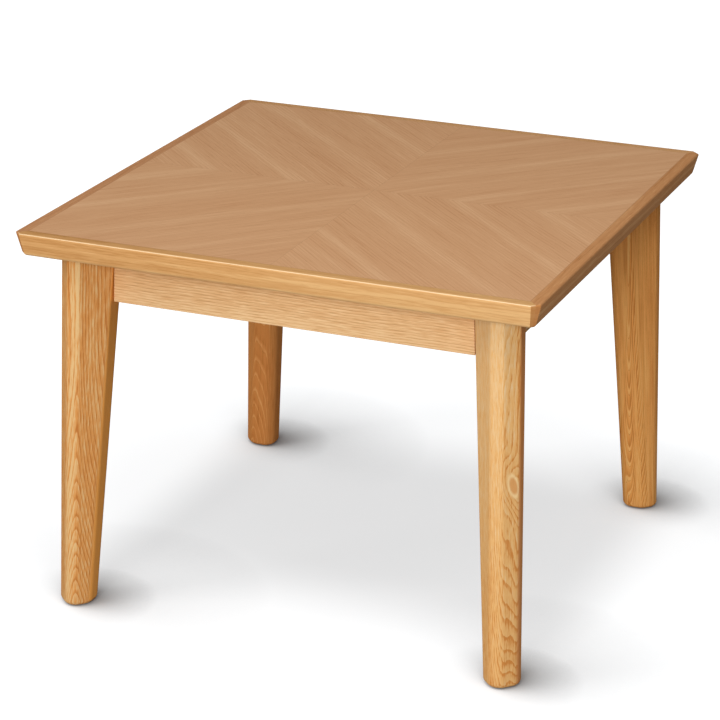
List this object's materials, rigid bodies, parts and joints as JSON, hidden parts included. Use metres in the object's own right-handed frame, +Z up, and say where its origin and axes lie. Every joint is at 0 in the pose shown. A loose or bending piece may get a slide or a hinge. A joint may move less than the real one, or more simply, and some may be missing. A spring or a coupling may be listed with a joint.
{
  "type": "side table",
  "caption": "Low square wooden side table with a quartered veneer top, mitred lipping and undercut edges, on an apron frame with splayed, tapered, faceted legs.",
  "frame": {"origin": "on the floor, under the middle of the top", "axes": "+X along the front edge to the right, +Y from front to back, +Z up"},
  "size_m": [0.6, 0.6, 0.45],
  "materials": {
    "top_veneer": "satin lacquer",
    "lipping_wood": "satin lacquer",
    "apron_wood": "satin lacquer",
    "leg_wood": "satin lacquer",
    "block_wood": "sawn, bare",
    "core_board": "pressed fibre board",
    "backing_sheet": "matt",
    "bolt_steel": "zinc plated",
    "screw_steel": "yellow zinc",
    "insert_brass": "turned",
    "glide_plastic": "matt"
  },
  "bodies": {
    "root": {"top_backing": "backing_sheet", "top_core": "core_board", "top_veneer_front_right": "top_veneer", "top_veneer_back_right": "top_veneer", "top_veneer_back_left": "top_veneer", "top_veneer_front_left": "top_veneer", "top_lipping_front": "lipping_wood", "top_lipping_right": "lipping_wood", "top_lipping_back": "lipping_wood", "top_lipping_left": "lipping_wood", "apron_front": "apron_wood", "apron_right": "apron_wood", "apron_back": "apron_wood", "apron_left": "apron_wood", "leg_front_right": "leg_wood", "leg_back_right": "leg_wood", "leg_back_left": "leg_wood", "leg_front_left": "leg_wood", "corner_block_front_right": "block_wood", "corner_block_back_right": "block_wood", "corner_block_back_left": "block_wood", "corner_block_front_left": "block_wood", "leg_bolts": "bolt_steel", "leg_bolt_spring_washers": "bolt_steel", "leg_bolt_flat_washers": "bolt_steel", "leg_threaded_inserts": "insert_brass", "apron_screws": "screw_steel", "top_screws": "screw_steel", "foot_glide_front_right": "glide_plastic", "foot_glide_back_right": "glide_plastic", "foot_glide_back_left": "glide_plastic", "foot_glide_front_left": "glide_plastic", "glide_nails": "screw_steel"}
  },
  "joints": []
}
